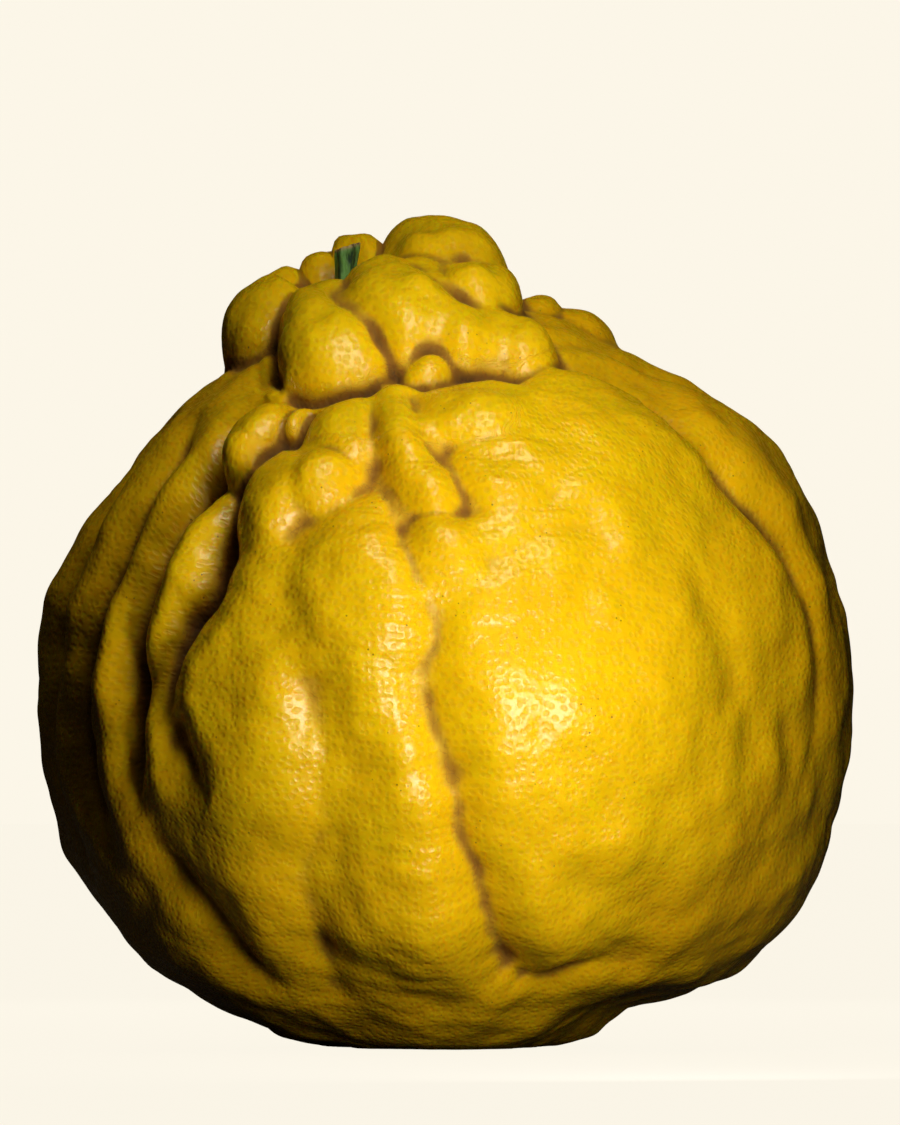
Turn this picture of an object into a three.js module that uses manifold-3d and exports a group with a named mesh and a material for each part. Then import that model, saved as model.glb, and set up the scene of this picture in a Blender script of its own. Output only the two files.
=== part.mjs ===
// A lion yuzu (shishi yuzu): one large, knobbly citrus fruit standing on the small flat under its
// base, with the calyx button and the cut stub of its stem in the pit of the crown.
// Millimetres, +Z up, showing side towards -Y, origin at the middle of the resting flat.

import * as THREE from "three";
import { mergeVertices } from "three/addons/utils/BufferGeometryUtils.js";
import Module from "manifold-3d";

// Driving dimensions of the fruit's body
const coreHeight = 79; // height of the core, the point that every radius is measured from
const bellyRadius = 89.5; // at the widest level, to the sides
const depthShare = 0.96; // front-to-back size against the width
const shoulderDrop = 5; // shorter radius towards the crown, between two latitudes
const shoulderLatitudes = [12, 58];
const footDrop = 5; // shorter radius towards the resting flat, between two latitudes
const footLatitudes = [38, 62];
const skinRadius = 88; // mean radius, which turns angles on the skin into lengths
const flatRounding = 4; // how softly the skin runs into the resting flat

// The pit of the crown, and the two pieces in it
const pitAt = [-24, -6.5]; // plan place at the mean radius
const pitFloorRadius = 84.2;
const pitWall = 14; // rise of the pit's wall at its half width
const pitHalfWidth = 9;
const fitGap = 0.3; // clearance between neighbouring pieces
const calyxAt = [-22.8, -6.3];
const calyxBase = 159.6; // height of its underside
const calyxRadius = 4.6;
const calyxLobes = 0.11; // share of the radius that the five lobes add and take
const calyxThickness = 2.3;
const pocketDepth = 16; // cleared above the calyx's seat
const stemRadius = 2.75; // at the cut
const stemWaist = 0.8; // share of that radius at the waist
const stemFlutes = 0.07;
const stemLength = 13.8;
const stemLean = [1.1, -1.3]; // sideways travel from foot to cut
const stemCutRise = 0.42; // slope of the cut, up to the right

// Fineness of the skin's mesh
const cubeSteps = 31; // cells along each edge of the cube that is blown up to the fruit
const crownCrowding = 0.35; // how strongly the cells crowd towards the crown
const cellReach = 2.6; // the skin is averaged this far round each corner, so facets follow its mean

// Creases between the lobes. line: [longitude, latitude] in degrees along the bottom of the crease,
// longitude 0 at the front and 90 to the right. depth: along the line, in mm, and negative for a
// crest. width: half width. rounding: radius of its bottom. ends: share of the line over which each
// end runs out.
const creases = {
  crownFoot: { line: [[-36, 48], [-27, 48.5], [-20, 49.5], [-14, 51], [-9, 51.5], [-3, 49.5], [2.5, 53],
    [11, 55], [18, 52.5], [24, 55]], depth: [2.4], width: 7, ends: [0.05, 0.1] },
  ridgeRight: { line: [[-6, 46.5], [-4.5, 42], [-2.5, 36.5], [0.5, 31], [2.5, 26.5], [4, 22]],
    depth: [2, 2.4, 1.6], width: 8, rounding: 1.4, ends: [0.1, 0.3] },
  middleLeft: { line: [[-7, 22.5], [-6, 19], [-4.5, 16.5], [-2.5, 13.5]], depth: [2], width: 8,
    rounding: 1.2 },
  left1: { line: [[-30.5, 41], [-31, 37.5], [-33.5, 33.5], [-34, 29], [-35.5, 26], [-36, 19],
    [-36.5, 13.5], [-40, 8], [-43.5, 1.5], [-43.5, -5], [-41.5, -12]],
    depth: [3, 5, 8, 8, 7, 5], width: 13, rounding: 1.2, ends: [0.1, 0.3] },
  ovalFoot: { line: [[-44.5, 38], [-42, 32], [-37.5, 28], [-34, 25]], depth: [4.5], width: 8 },
  left2: { line: [[-42, 47], [-44.5, 41], [-45, 35], [-46, 29], [-50.5, 19], [-52.5, 7], [-52, -4],
    [-53, -20]], depth: [5, 8, 8, 7, 4], width: 11 },
  left3: { line: [[-62, 45], [-59, 30], [-60.5, 16], [-64, 5], [-67, -10], [-64, -28]], depth: [6],
    width: 14 },
  left4: { line: [[-84, 45], [-76, 30], [-76, 10], [-80, -10], [-76, -30]], depth: [5], width: 15 },
  lowLeft: { line: [[-43.5, -5], [-40, -12], [-35.5, -17]], depth: [4.5], width: 12, rounding: 1.5,
    ends: [0.3, 0.6] },
  lowLeftSecond: { line: [[-52, -16], [-50, -24], [-46, -31], [-43, -40], [-42, -52]], depth: [4, 5, 6],
    width: 14, rounding: 1.5, ends: [0.4, 0.2] },
  leftValley: { line: [[-20, 6], [-18.5, -4], [-18, -14], [-19.5, -22], [-23, -29], [-24.5, -37],
    [-25, -45], [-28, -55]], depth: [2.5, 3.5, 3, 4, 3.5, 5, 5], width: 15, rounding: 2 },
  leftValleyBranch: { line: [[-19, -24], [-16, -33], [-12, -42], [-9, -50]], depth: [2], width: 14,
    rounding: 2.5, ends: [0.4, 0.3] },
  central: { line: [[-2.5, 14], [-1.5, 8], [-2.5, 0], [-2, -5], [-0.5, -9.5], [1.5, -16], [3, -23.5],
    [6, -29], [8, -35.5], [11.5, -43], [16, -47.5], [21, -49.5]],
    depth: [1.5, 4, 6, 7.5, 7], width: 13, ends: [0.15, 0.1] },
  bottomRight: { line: [[16, -48], [21, -49.5], [25.5, -49], [29.5, -46.5], [35, -44.5], [44, -44.5],
    [58, -45]], depth: [5, 5, 3.5, 3], width: 11, rounding: 1.5, ends: [0.15, 0.4] },
  bottomRightDip: { line: [[20, -27], [29, -32], [38, -34], [50, -35]], depth: [2], width: 15,
    rounding: 3, ends: [0.5, 0.5] },
  bottomRightFold: { line: [[25, -34], [28.5, -38], [33, -40.5], [40, -42], [48, -41]], depth: [2.4],
    width: 9, rounding: 1.5, ends: [0.4, 0.5] },
  rightTop: { line: [[22, 54], [28, 57], [43.5, 55], [50.5, 49], [54, 40], [57.5, 31], [62, 23.5],
    [67, 10], [68, -5], [64, -20]], depth: [5, 6, 5, 3.5, 2.5], width: 12, rounding: 1.2 },
  rightTopSecond: { line: [[24, 64], [34.5, 64], [49.5, 63], [62.5, 60.5], [73, 54], [82, 40]],
    depth: [2.2], width: 8 },
  rightSoft: { line: [[42, 16], [45.5, 1.5], [49, -6], [49.5, -20]], depth: [3.4], width: 17,
    rounding: 4, ends: [0.5, 0.5] },
  rightRim: { line: [[56.5, 10], [60, -6.5], [62, -22]], depth: [3], width: 15, rounding: 4,
    ends: [0.5, 0.5] },
  firstRib: { line: [[-40, 30], [-41, 20], [-43.5, 11.5], [-47, 3], [-48, -5], [-47, -16]],
    depth: [-2.5], width: 10, rounding: 4 },
  middleCrest: { line: [[-10, 14], [-9, 6], [-7, -3], [-4.5, -11], [-3, -20], [-0.5, -29], [1, -38],
    [2, -48]], depth: [-3], width: 15, rounding: 5 },
};
const creaseRounding = 0.8; // where a crease states none
const creaseEnds = [0.15, 0.25];

// The creases round the back: how many, their first longitude and their spacing in degrees
const backCreases = { count: 7, first: 100, step: 25.5 };

// Swellings between the creases. at: [longitude, latitude]; size: half lengths along the parallel and
// the meridian; edge: 1 for a steep edge, 2 for a soft one.
const swellings = {
  shoulder: { at: [33, 42], size: [34, 26], height: 2.8, edge: 1.3 },
  rightLobe: { at: [21, -8], size: [48, 52], height: 3, edge: 1.5 },
  leftLobe: { at: [-29, -5], size: [22, 50], height: 3, edge: 1.4 },
  sideUpperRight: { at: [85, 38], size: [44, 30], height: 4, edge: 1.5 },
  sideUpperLeft: { at: [-90, 32], size: [36, 30], height: -2.5, edge: 1.5 },
  sideLowerLeft: { at: [-90, -15], size: [44, 30], height: 1.6, edge: 1.5 },
  sideLowerRight: { at: [88, -33], size: [44, 22], height: 3.2, edge: 1.5 },
  footRight: { at: [72, -62], size: [40, 26], height: -5.5, edge: 2 },
};

// Lobes below the crown that crowd against each other. at and size: as for the swellings; turn: the
// long axis, anticlockwise, in degrees; flatness: 2 for a round dome, more for a flat-topped one.
const lobes = {
  oval: { at: [-37.5, 37], size: [7, 13], height: 5.5, flatness: 2.8 },
  tiny: { at: [-29.5, 41], size: [2.6, 5], height: 2.6, flatness: 2.4 },
  upperLeft: { at: [-18.5, 38.5], size: [10.5, 14.5], height: 4.4, flatness: 2.2 },
  ridge: { at: [-6, 36.5], size: [8.2, 25], height: 4.6, flatness: 2.2, turn: 21 },
  brow: { at: [-20, 30], size: [9.5, 11], height: 5.4, flatness: 2.3 },
  browLeft: { at: [-27.5, 28], size: [10, 12.5], height: 4.6, flatness: 2.3 },
  middle: { at: [-12.5, 14.5], size: [15, 22.5], height: 4.4, flatness: 2.4 },
  middleSmall: { at: [-1.5, 18.5], size: [9.5, 11], height: 2.4, flatness: 2 },
  upperRight: { at: [4.5, 42], size: [16, 11], height: 3.8, flatness: 2.2 },
  upperRightLow: { at: [8.5, 33], size: [14, 11], height: 3.2, flatness: 2 },
};

// Knobs of the crown, each of one or more domes that run into each other. at: plan place at the mean
// radius; size: half lengths; top: distance of the summit from the core; flatness: 2 for a round
// dome, more for a flat-topped one.
const knobs = {
  leftOuter: [{ at: [-37.9, -5], size: [12.2, 18], top: 99, flatness: 3 }],
  frontLeft: [{ at: [-27.5, -26], size: [10.8, 24], top: 95.6, flatness: 2.8 },
    { at: [-25.5, -35], size: [13.2, 18.5], top: 94, flatness: 3 },
    { at: [-18.5, -40], size: [10, 12.5], top: 91.2, flatness: 2.6 }],
  frontTop: [{ at: [-9.5, -26.5], size: [15.5, 23.5], top: 97.4, flatness: 3.2 },
    { at: [4.5, -37], size: [10.5, 13], top: 92.6, flatness: 2.5 },
    { at: [16, -38.5], size: [9, 10.5], top: 89.8, flatness: 2.4 }],
  frontBud: [{ at: [-3.6, -51], size: [4, 2.8], top: 85.2, flatness: 2.2 }],
  top: [{ at: [-4.5, 4], size: [12.4, 15], top: 104.7, flatness: 3.2 }],
  topRight: [{ at: [-0.5, -8], size: [15.5, 14], top: 102, flatness: 3.2 },
    { at: [-1.3, 1], size: [19.2, 17], top: 103.9, flatness: 2.2 },
    { at: [3, -25], size: [15, 7.5], top: 95.8, flatness: 2.6, turn: -61 },
    { at: [9.5, -22], size: [8.5, 15], top: 94.6, flatness: 2.8 }],
  backBud: [{ at: [-17.2, 7], size: [7.2, 9], top: 102.3, flatness: 3.8 }],
  backLeft: [{ at: [-25, 8], size: [6.3, 9], top: 99.2, flatness: 3.5 }],
  backLeftOuter: [{ at: [-33.5, 6], size: [7.4, 9], top: 100.2, flatness: 3.5 }],
  leftSliver: [{ at: [-39.5, -33], size: [2.4, 11.5], top: 86.2, flatness: 3 }],
  rearTop: [{ at: [-10, 20], size: [12, 11], top: 96, flatness: 2.4 }],
  rearLeft: [{ at: [-28, 19], size: [12, 10], top: 93, flatness: 2.4 }],
  rearRight: [{ at: [9, 20], size: [10, 10], top: 91.5, flatness: 2.4 }],
  sideFirst: [{ at: [21.5, 2], size: [7, 9], top: 90.2, flatness: 2.4 }],
  sideSecond: [{ at: [31.5, 3], size: [8.5, 10], top: 89.2, flatness: 2.4 }],
};
// Narrow seams pressed in between and into the knobs. line, depth, width, rounding, ends: as for creases.
const seams = {
  frontLeftSide: { line: [[-44, 68], [-33, 63.5], [-25, 60], [-19, 58], [-15, 56], [-12.5, 54], [-10, 52],
    [-8, 49.5]], depth: [3, 4, 4, 3.5], width: 7 },
  frontLeftOuter: { line: [[-58, 68], [-55, 63.5], [-54, 60], [-51, 56], [-46, 52], [-41, 48]],
    depth: [3, 5, 5, 4], width: 7.5 },
  frontLeftFoot: { line: [[-38, 46.5], [-30, 46.3], [-25, 47.5], [-20, 49.5], [-15, 50.5], [-12, 52.5]],
    depth: [2.5], width: 6 },
  frontTopFoot: { line: [[-12, 54.5], [-8, 54.3], [-5.5, 56], [-1.5, 56.5], [2, 54.5], [6, 55], [10, 56],
    [15, 56.3], [19, 54.5], [23, 54]], depth: [1.6], width: 5.5 },
  browEdge: { line: [[-7, 49], [-4, 51.2], [0, 52], [4, 53.3], [9, 54], [13, 54.3], [17, 52], [20, 47.5]],
    depth: [1.6], width: 5 },
  frontTopSecond: { line: [[12, 64], [13.5, 60.5], [14, 57.5]], depth: [1], width: 5, rounding: 1.2 },
  bandFoot: { line: [[-67, 80], [-30, 77.5], [-13, 74], [-2, 69], [6, 66.5], [12, 64.5], [19, 63.5]],
    depth: [2, 2.4, 2], width: 6 },
  bandEdge: { line: [[-45, 83], [-18, 83.5], [0.5, 79.5], [9, 77.5], [17, 76.3], [40, 78], [60, 79]],
    depth: [1.5], width: 4.5 },
  topEdge: { line: [[-66, 81.5], [-52, 83], [-38, 85], [-21, 87]], depth: [1.4], width: 4.5 },
  ridgeRightEdge: { line: [[-8, 48.5], [-5.5, 42], [-3.5, 37], [-1, 33], [1, 30], [2.5, 27], [4, 22]],
    depth: [2.4, 2.6, 2, 2.8, 2.2], width: 8 },
  ridgeLeftEdge: { line: [[-14.5, 46], [-13.5, 40.5], [-13, 36], [-12.5, 33], [-11, 29], [-8.5, 26],
    [-6.5, 22.5], [-6, 19], [-4.5, 16], [-2.5, 12]], depth: [1.2, 1.8, 1.8, 2.4, 2.8, 2.2, 1.5], width: 8.5 },
  ridgeFoot: { line: [[-7, 21.5], [-4.5, 24], [-1.5, 24.5], [1, 24.5], [4, 25]], depth: [1.6], width: 6.5 },
  browTop: { line: [[-34.5, 32.5], [-34, 34.5], [-33, 36], [-31.5, 38], [-28, 38], [-22, 36], [-18.5, 34.5],
    [-15.5, 32], [-13, 29.5]], depth: [2.6, 2.4, 1.8, 1.6], width: 7 },
  middleTop: { line: [[-25, 20], [-22, 23.5], [-19, 25], [-16.5, 27], [-14, 28.5], [-11, 29]],
    depth: [1.2, 2.2, 2.4], width: 8.5 },
  tinySide: { line: [[-28, 43.5], [-28, 41], [-28.5, 38.5], [-31, 37.5]], depth: [2], width: 4.5 },
  upperRightFoot: { line: [[-2, 33], [1.5, 35.5], [5, 34.5], [9, 33.5], [14, 35]], depth: [2, 1.6, 1],
    width: 10, rounding: 1.6 },
};
const knobEdgeRadius = 84.5; // distance from the core at a dome's rim
const domeBlend = 8; // between the domes of one knob
const knobBlend = 1.6; // between a lobe or a knob and whatever it meets

// Slight unevenness of the whole skin: ripples per radian, number of ripple directions, height
const unevenness = [{ pace: 16, count: 7, height: 0.55 }, { pace: 34, count: 12, height: 0.35 }];

const colours = { peel: 0xe8b406, calyx: 0x5b5a22, stem: 0x2f6a2c };

const { sin, cos, abs, min, max, sqrt, PI } = Math;
const radians = (degrees) => (degrees * PI) / 180;

function direction([longitude, latitude]) {
  const around = radians(longitude);
  const up = radians(latitude);
  return new THREE.Vector3(cos(up) * sin(around), -cos(up) * cos(around), sin(up));
}

// The larger of two values, rounded where they are within "blend" of each other.
function softMax(a, b, blend) {
  const overlap = max(blend - abs(a - b), 0) / blend;
  return max(a, b) + (overlap * overlap * blend) / 4;
}

const softMin = (a, b, blend) => -softMax(-a, -b, blend);

// The plain body: an ellipsoid that is a little narrower at the shoulder and at the foot.
function bodyRadius(d) {
  const latitude = (Math.asin(d.z) * 180) / PI;
  const flattening = 1 - (1 - depthShare) * d.y * d.y;
  const shoulder = shoulderDrop * THREE.MathUtils.smoothstep(latitude, ...shoulderLatitudes);
  const foot = footDrop * THREE.MathUtils.smoothstep(-latitude, ...footLatitudes);
  return (bellyRadius - shoulder - foot) * flattening;
}

// Interpolates evenly spaced values at a share between 0 and 1.
function along(values, share) {
  const place = share * (values.length - 1);
  const first = min(Math.floor(place), values.length - 2);
  if (values.length === 1) return values[0];
  return values[first] + (values[first + 1] - values[first]) * (place - first);
}

// A crease prepared for measuring: a smooth curve through its line, cut into short steps.
function prepareCrease({ line, depth, width, rounding = creaseRounding, ends = creaseEnds }) {
  const stepsPerPoint = 5;
  const curve = new THREE.CatmullRomCurve3(line.map(direction), false, "catmullrom", 0.5);
  const points = curve.getPoints((line.length - 1) * stepsPerPoint).map((p) => p.normalize());
  const lengths = points.map((p, i) => (i ? p.distanceTo(points[i - 1]) : 0));
  let total = 0;
  const travelled = lengths.map((length) => (total += length));
  return { points, shares: travelled.map((t) => t / total), depth, width, rounding, ends };
}

// How far a crease lowers the skin in direction d.
function creaseDrop(d, { points, shares, depth, width, rounding, ends }) {
  let nearest = Infinity;
  let share = 0;
  const step = new THREE.Vector3();
  const offset = new THREE.Vector3();
  for (let i = 0; i < points.length - 1; i++) {
    step.subVectors(points[i + 1], points[i]);
    offset.subVectors(d, points[i]);
    const t = THREE.MathUtils.clamp(offset.dot(step) / step.lengthSq(), 0, 1);
    const distance = offset.addScaledVector(step, -t).length();
    if (distance >= nearest) continue;
    nearest = distance;
    share = shares[i] + (shares[i + 1] - shares[i]) * t;
  }
  const reach = Math.hypot(nearest * skinRadius, rounding) / width;
  if (reach >= 1) return 0;
  const fade = min(share / ends[0], 1) * min((1 - share) / ends[1], 1);
  return along(depth, share) * sin((fade * PI) / 2) * (1 - reach) ** 2;
}

// How far out direction d is from the middle of an oval on the skin, as a share of its half lengths.
function ovalReach(d, { at, size, turn = 0 }) {
  const middle = direction(at);
  if (d.dot(middle) <= 0) return Infinity;
  const around = radians(at[0]);
  const east = new THREE.Vector3(cos(around), sin(around), 0);
  const north = new THREE.Vector3().crossVectors(middle, east);
  return turnedReach(d.dot(east) * skinRadius, d.dot(north) * skinRadius, size, turn);
}

function turnedReach(x, y, size, turn) {
  const c = cos(radians(turn));
  const s = sin(radians(turn));
  return Math.hypot((x * c + y * s) / size[0], (y * c - x * s) / size[1]);
}

// How far a swelling raises the skin in direction d.
function swellingRise(d, swelling) {
  return swelling.height * max(0, 1 - ovalReach(d, swelling) ** 2) ** swelling.edge;
}

// The skin with the lobes that stand out of the plain skin, each falling ever steeper past its rim.
function addLobes(d, plain, radius) {
  return Object.values(lobes).reduce((skin, lobe) => {
    const rise = lobe.height * (1 - min(ovalReach(d, lobe), 3) ** lobe.flatness);
    return softMax(skin, plain + rise, knobBlend);
  }, radius);
}

// Distance from the core to a dome of the crown in direction d, falling ever steeper past its rim.
function domeRadius(d, { at, size, top, flatness, turn = 0 }) {
  const reach = turnedReach(d.x * skinRadius - at[0], d.y * skinRadius - at[1], size, turn);
  return top - (top - knobEdgeRadius) * min(reach, 3) ** flatness;
}

function addKnobs(d, radius) {
  if (d.z <= 0) return radius;
  return Object.values(knobs).reduce((skin, domes) => {
    const knob = domes.map((dome) => domeRadius(d, dome)).reduce((a, b) => softMax(a, b, domeBlend));
    return softMax(skin, knob, knobBlend);
  }, radius);
}

function sinkPit(d, radius) {
  if (d.z <= 0) return radius;
  const away = Math.hypot(d.x * skinRadius - pitAt[0], d.y * skinRadius - pitAt[1]);
  return softMin(radius, pitFloorRadius + pitWall * (away / pitHalfWidth) ** 3, 1.5);
}

// A sum of sine ripples whose directions are spread evenly over the sphere.
function ripples(d, { pace, count, height }) {
  const goldenAngle = PI * (3 - sqrt(5));
  let sum = 0;
  for (let i = 0; i < count; i++) {
    const z = 1 - (2 * i + 1) / count;
    const side = sqrt(1 - z * z);
    const travel = d.x * side * cos(goldenAngle * i) + d.y * side * sin(goldenAngle * i) + d.z * z;
    sum += sin(travel * pace * (0.75 + 0.5 * ((0.618 * i) % 1)) + 1.7 * i * i);
  }
  return (height * sum) / sqrt(count);
}

// Cuts the skin off at the plane it stands on.
function standOnFlat(d, radius) {
  if (d.z > -0.05) return radius;
  const plane = coreHeight / -d.z;
  return min(softMin(radius, plane + 0.6, flatRounding), plane);
}

function backCrease(i) {
  const middle = backCreases.first + backCreases.step * i;
  const line = [[middle + 6 * sin(2.1 * i), 54], [middle + 5 * sin(1.3 * i + 1), 28],
    [middle + 6 * sin(1.7 * i), 3], [middle + 5 * sin(0.9 * i + 2), -22], [middle + 3, -48]];
  return { line, depth: [4.5 + 1.5 * sin(2.3 * i), 6 + 1.5 * sin(3.1 * i), 4], width: 14 + 2 * sin(1.1 * i) };
}

const backList = Array.from({ length: backCreases.count }, (_, i) => backCrease(i));
const allCreases = [...Object.values(creases), ...backList].map(prepareCrease);
const allSeams = Object.values(seams).map(prepareCrease);

// Distance from the core to the skin in direction d.
function skinRadiusAt(d) {
  const rises = Object.values(swellings).map((swelling) => swellingRise(d, swelling));
  const drops = allCreases.map((crease) => creaseDrop(d, crease));
  const plain = rises.reduce((a, b) => a + b, bodyRadius(d));
  let radius = addLobes(d, plain, drops.reduce((a, b) => a - b, plain));
  radius = addKnobs(d, radius);
  for (const seam of allSeams) radius -= creaseDrop(d, seam);
  radius = sinkPit(d, radius);
  for (const layer of unevenness) radius += ripples(d, layer);
  return standOnFlat(d, radius);
}

// The skin's radius averaged over a ring of directions round d.
function meanSkinRadius(d) {
  const side = new THREE.Vector3(-d.y, d.x, 0.01).normalize().cross(d);
  side.multiplyScalar(cellReach / skinRadius);
  const ringCount = 6;
  let sum = skinRadiusAt(d);
  for (let i = 0; i < ringCount; i++) {
    side.applyAxisAngle(d, (2 * PI) / ringCount);
    sum += skinRadiusAt(new THREE.Vector3().addVectors(d, side).normalize());
  }
  return sum / (ringCount + 1);
}

// Leaves only the positions, merged, and moves each of them with a function.
function reshape(geometry, move) {
  geometry.deleteAttribute("normal");
  geometry.deleteAttribute("uv");
  const merged = mergeVertices(geometry, 1e-5);
  const positions = merged.getAttribute("position");
  const point = new THREE.Vector3();
  for (let i = 0; i < positions.count; i++) {
    point.fromBufferAttribute(positions, i);
    move(point);
    positions.setXYZ(i, point.x, point.y, point.z);
  }
  return merged;
}

// The skin is a cube blown up to a sphere, then pushed out to the skin's radius.
function fruitGeometry() {
  return reshape(new THREE.BoxGeometry(2, 2, 2, cubeSteps, cubeSteps, cubeSteps), (point) => {
    const even = (v) => Math.tan((v * PI) / 4);
    point.set(even(point.x), even(point.y), even(point.z)).normalize();
    const fromTop = Math.acos(THREE.MathUtils.clamp(point.z, -1, 1));
    const crowded = fromTop - crownCrowding * sin(fromTop);
    const around = Math.atan2(point.y, point.x);
    point.set(sin(crowded) * cos(around), sin(crowded) * sin(around), cos(crowded));
    point.multiplyScalar(meanSkinRadius(point));
    point.z = max(point.z + coreHeight, 0);
  });
}

// A low button with a rounded rim and five shallow lobes.
function calyxGeometry() {
  const profile = [[0, 0], [0.86, 0], [1, 0.25], [0.96, 0.6], [0.7, 0.88], [0.45, 1], [0, 1]]
    .map(([across, up]) => new THREE.Vector2(across * calyxRadius, up * calyxThickness));
  const lathe = new THREE.LatheGeometry(profile, 40).rotateX(PI / 2);
  return reshape(lathe, (point) => {
    const lobe = 1 + calyxLobes * cos(5 * Math.atan2(point.y, point.x));
    point.set(point.x * lobe + calyxAt[0], point.y * lobe + calyxAt[1], point.z + calyxBase);
  });
}

// A fluted stub with a waist, cut off at a slant.
function stemGeometry() {
  const foot = calyxBase + calyxThickness + fitGap;
  const cylinder = new THREE.CylinderGeometry(1, 1, 1, 30, 8).rotateX(PI / 2);
  return reshape(cylinder, (point) => {
    const share = point.z + 0.5;
    const waist = 1 - (1 - stemWaist) * sin(PI * min(share * 1.1, 1));
    const flutes = 1 + stemFlutes * cos(5 * Math.atan2(point.y, point.x));
    const across = stemRadius * waist * flutes;
    const rise = share * (stemLength + stemCutRise * point.x * across);
    point.set(point.x * across + calyxAt[0] + stemLean[0] * share,
      point.y * across + calyxAt[1] + stemLean[1] * share, foot + rise);
  });
}

const wasm = await Module();
wasm.setup();

function toSolid(geometry) {
  const vertProperties = new Float32Array(geometry.getAttribute("position").array);
  const triVerts = new Uint32Array(geometry.index.array);
  return new wasm.Manifold(new wasm.Mesh({ numProp: 3, vertProperties, triVerts }));
}

function toGeometry(solid) {
  const { vertProperties, triVerts } = solid.getMesh();
  const geometry = new THREE.BufferGeometry();
  geometry.setAttribute("position", new THREE.BufferAttribute(vertProperties, 3));
  geometry.setIndex(new THREE.BufferAttribute(triVerts, 1));
  return geometry;
}

// The fruit with the seat of its calyx cleared.
function seatedFruit() {
  const seatRadius = calyxRadius * (1 + calyxLobes) + fitGap;
  const seat = new THREE.CylinderGeometry(seatRadius, seatRadius, pocketDepth, 32).rotateX(PI / 2);
  const cutter = reshape(seat, (point) => {
    point.x += calyxAt[0];
    point.y += calyxAt[1];
    point.z += calyxBase - fitGap + pocketDepth / 2;
  });
  return toGeometry(toSolid(fruitGeometry()).subtract(toSolid(cutter)));
}

function piece(name, geometry, color, roughness) {
  geometry.computeVertexNormals();
  const mesh = new THREE.Mesh(geometry, new THREE.MeshStandardMaterial({ color, roughness, metalness: 0 }));
  mesh.name = name;
  return mesh;
}

const yuzu = new THREE.Group();
yuzu.add(piece("fruit", seatedFruit(), colours.peel, 0.35));
yuzu.add(piece("calyx", calyxGeometry(), colours.calyx, 0.7));
yuzu.add(piece("stem_stub", stemGeometry(), colours.stem, 0.5));

export default yuzu;
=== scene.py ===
# The looks of a lion yuzu: the fruit's fine skin, its calyx button, its cut stem stub, their materials,
# a pale floor, soft light and the camera. Blender works in metres, +Z up, front towards -Y. Sizes on
# the fruit are written in millimetres and turned into metres where a mesh is made.

from math import cos, pi, radians, sin, sqrt

import bpy
import numpy as np
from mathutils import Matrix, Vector


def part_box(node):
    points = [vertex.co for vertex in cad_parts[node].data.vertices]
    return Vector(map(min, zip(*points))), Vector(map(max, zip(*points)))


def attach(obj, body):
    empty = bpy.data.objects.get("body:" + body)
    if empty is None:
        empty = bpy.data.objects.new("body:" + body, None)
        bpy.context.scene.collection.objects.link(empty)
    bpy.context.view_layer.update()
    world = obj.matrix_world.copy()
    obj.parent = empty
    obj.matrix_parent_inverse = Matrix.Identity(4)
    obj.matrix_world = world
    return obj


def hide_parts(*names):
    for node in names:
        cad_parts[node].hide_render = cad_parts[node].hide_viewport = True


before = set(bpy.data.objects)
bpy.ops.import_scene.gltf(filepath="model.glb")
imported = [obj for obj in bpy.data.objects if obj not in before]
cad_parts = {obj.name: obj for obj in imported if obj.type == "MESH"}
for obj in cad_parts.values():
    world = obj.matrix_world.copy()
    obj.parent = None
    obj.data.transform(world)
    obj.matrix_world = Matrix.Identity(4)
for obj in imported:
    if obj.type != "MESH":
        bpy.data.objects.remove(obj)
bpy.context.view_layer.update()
scene = bpy.context.scene
millimetre = 0.001
print("frame loaded")


def makeObject(name, points, faces, material, attributes=None):
    # points in millimetres; attributes are values or vectors for each point, by name
    mesh = bpy.data.meshes.new(name)
    mesh.from_pydata((points * millimetre).tolist(), [], faces)
    mesh.update()
    mesh.shade_smooth()
    for key, values in (attributes or {}).items():
        kind, field = ("FLOAT_VECTOR", "vector") if values.ndim == 2 else ("FLOAT", "value")
        layer = mesh.attributes.new(key, kind, "POINT")
        layer.data.foreach_set(field, values.astype(np.float32).ravel())
    mesh.materials.append(material)
    made = bpy.data.objects.new(name, mesh)
    scene.collection.objects.link(made)
    return made


def inMillimetres(corners):
    return [np.array(corner) / millimetre for corner in corners]


def closedRings(rings):
    # Rings of points in order from the lower pole to the upper one, with a point added at the middle
    # of the first ring and of the last. Each ring runs anticlockwise seen from above.
    count, around = rings.shape[:2]
    points = np.concatenate([rings.reshape(-1, 3), rings[:1].mean(1), rings[-1:].mean(1)])
    ring = np.arange(count - 1)[:, None] * around
    here = np.arange(around)[None]
    there = (here + 1) % around
    walls = np.stack([ring + here, ring + there, ring + around + there, ring + around + here], -1)
    lowPole, highPole = count * around, count * around + 1
    last = (count - 1) * around
    lowFan = np.stack([there[0], here[0], np.full(around, lowPole)], -1)
    highFan = np.stack([last + here[0], last + there[0], np.full(around, highPole)], -1)
    return points, walls.reshape(-1, 4).tolist() + lowFan.tolist() + highFan.tolist()


def latticeNoise(points, cell, seed):
    # Smooth noise between -1 and 1: random values on a cubic lattice of that cell size, blended with
    # smooth steps between the eight corners round each point.
    size = 64
    values = np.random.default_rng(seed).uniform(-1, 1, (size, size, size))
    place = points / cell + 500  # somewhere on the lattice
    corner = np.floor(place).astype(int)
    part = place - corner
    part = part * part * (3 - 2 * part)
    total = 0
    for shift in np.ndindex(2, 2, 2):
        weight = np.prod(np.where(shift, part, 1 - part), axis=-1)
        i, j, k = np.moveaxis((corner + shift) % size, -1, 0)
        total = total + weight * values[i, j, k]
    return total


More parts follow.
